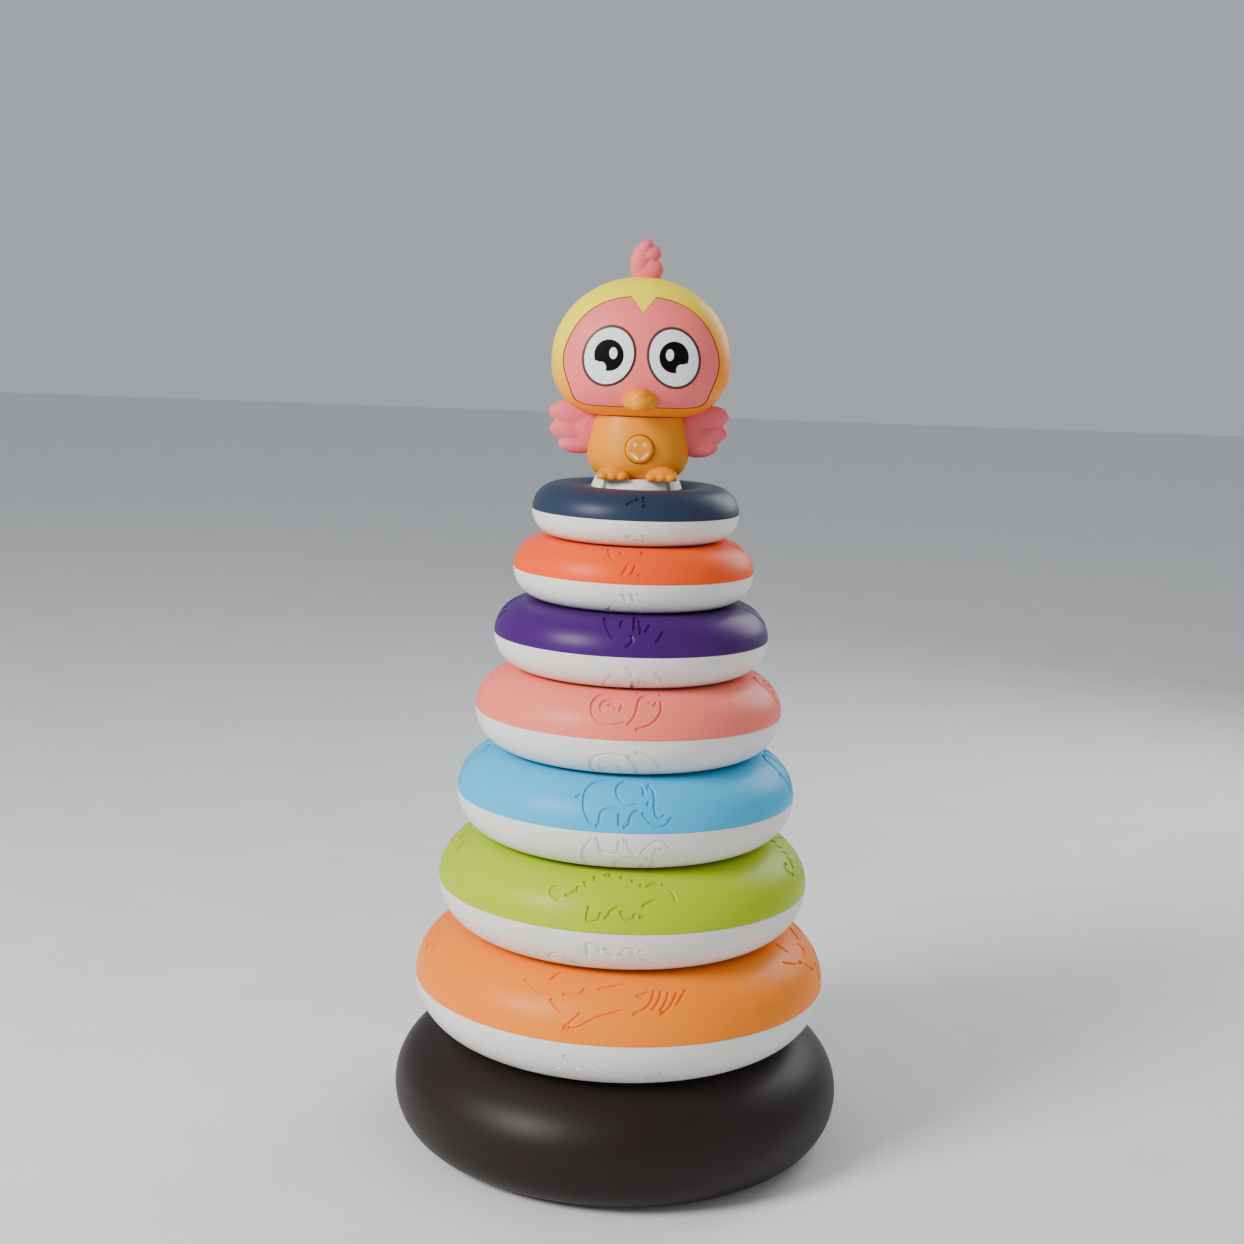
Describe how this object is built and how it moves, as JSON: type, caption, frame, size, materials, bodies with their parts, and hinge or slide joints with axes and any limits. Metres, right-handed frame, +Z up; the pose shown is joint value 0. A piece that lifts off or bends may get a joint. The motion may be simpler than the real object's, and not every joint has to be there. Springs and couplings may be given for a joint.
{
  "type": "stacking ring toy",
  "caption": "Stacking ring toy: a tapering tower of two-tone hollow rings on a conical post over a round dark base, with a cartoon chick topper that lifts off.",
  "frame": {"origin": "centre of the floor under the base's feet, on the post's axis", "axes": "+Z up along the post, the chick's face looks along -Y"},
  "size_m": [0.18, 0.18, 0.3584],
  "materials": {
    "base_plastic": "satin dark brown-black",
    "rubber": "matte",
    "steel": "zinc plated",
    "white_plastic": "satin white",
    "orange_plastic": "satin",
    "green_plastic": "satin",
    "blue_plastic": "satin",
    "pink_plastic": "satin",
    "purple_plastic": "satin",
    "coral_plastic": "satin",
    "navy_plastic": "satin",
    "hood_yellow": "satin, yellow crown fading to orange cheeks",
    "body_orange": "satin",
    "face_pink": "satin",
    "feather_pink": "satin",
    "beak_orange": "satin",
    "eye_white": "satin white with printed pupil",
    "board": "solder-mask green",
    "black_plastic": "matte",
    "cell_steel": "nickel plated"
  },
  "bodies": {
    "base": {"base_upper_shell": "base_plastic", "base_lower_shell": "base_plastic", "base_feet": "rubber", "base_screws": "steel", "post": "white_plastic", "post_screws": "steel"},
    "orange_ring": {"orange_ring_upper_shell": "orange_plastic", "orange_ring_lower_shell": "white_plastic"},
    "green_ring": {"green_ring_upper_shell": "green_plastic", "green_ring_lower_shell": "white_plastic"},
    "blue_ring": {"blue_ring_upper_shell": "blue_plastic", "blue_ring_lower_shell": "white_plastic"},
    "pink_ring": {"pink_ring_upper_shell": "pink_plastic", "pink_ring_lower_shell": "white_plastic"},
    "purple_ring": {"purple_ring_upper_shell": "purple_plastic", "purple_ring_lower_shell": "white_plastic"},
    "coral_ring": {"coral_ring_upper_shell": "coral_plastic", "coral_ring_lower_shell": "white_plastic"},
    "navy_ring": {"navy_ring_upper_shell": "navy_plastic", "navy_ring_lower_shell": "white_plastic"},
    "chick": {"chick_stand": "white_plastic", "stand_screws": "steel", "body_front_shell": "body_orange", "body_rear_shell": "body_orange", "foot_left": "beak_orange", "foot_right": "beak_orange", "wing_left": "feather_pink", "wing_right": "feather_pink", "head_front_shell": "hood_yellow", "head_rear_shell": "hood_yellow", "face_plate": "face_pink", "eye_left": "eye_white", "eye_right": "eye_white", "beak": "beak_orange", "comb": "feather_pink", "speaker": "black_plastic", "circuit_board": "board", "button_cells": "cell_steel", "battery_contacts": "cell_steel", "slide_switch": "black_plastic", "chick_screws": "steel"},
    "button": {"belly_button": "body_orange", "button_lens": "eye_white"},
    "switch": {"switch_knob": "black_plastic"},
    "door": {"battery_door": "hood_yellow", "battery_door_screw": "steel"}
  },
  "joints": [
    {"name": "orange_ring_lift", "type": "slide", "parent": "base", "child": "orange_ring", "axis": [0, 0, 1], "range_m": [0, 0.225]},
    {"name": "green_ring_lift", "type": "slide", "parent": "orange_ring", "child": "green_ring", "axis": [0, 0, 1], "range_m": [0, 0.185]},
    {"name": "blue_ring_lift", "type": "slide", "parent": "green_ring", "child": "blue_ring", "axis": [0, 0, 1], "range_m": [0, 0.145]},
    {"name": "pink_ring_lift", "type": "slide", "parent": "blue_ring", "child": "pink_ring", "axis": [0, 0, 1], "range_m": [0, 0.11]},
    {"name": "purple_ring_lift", "type": "slide", "parent": "pink_ring", "child": "purple_ring", "axis": [0, 0, 1], "range_m": [0, 0.08]},
    {"name": "coral_ring_lift", "type": "slide", "parent": "purple_ring", "child": "coral_ring", "axis": [0, 0, 1], "range_m": [0, 0.05]},
    {"name": "navy_ring_lift", "type": "slide", "parent": "coral_ring", "child": "navy_ring", "axis": [0, 0, 1], "range_m": [0, 0.03]},
    {"name": "chick_lift", "type": "slide", "parent": "navy_ring", "child": "chick", "axis": [0, 0, 1], "range_m": [0, 0.035]},
    {"name": "button_press", "type": "slide", "parent": "chick", "child": "button", "axis": [0, 1, 0], "range_m": [0, 0.0012], "stiffness_N_per_m": 300},
    {"name": "switch_slide", "type": "slide", "parent": "chick", "child": "switch", "axis": [1, 0, 0], "range_m": [0, 0.004]},
    {"name": "battery_door_off", "type": "slide", "parent": "chick", "child": "door", "axis": [0, 1, 0], "range_m": [0, 0.03]}
  ]
}
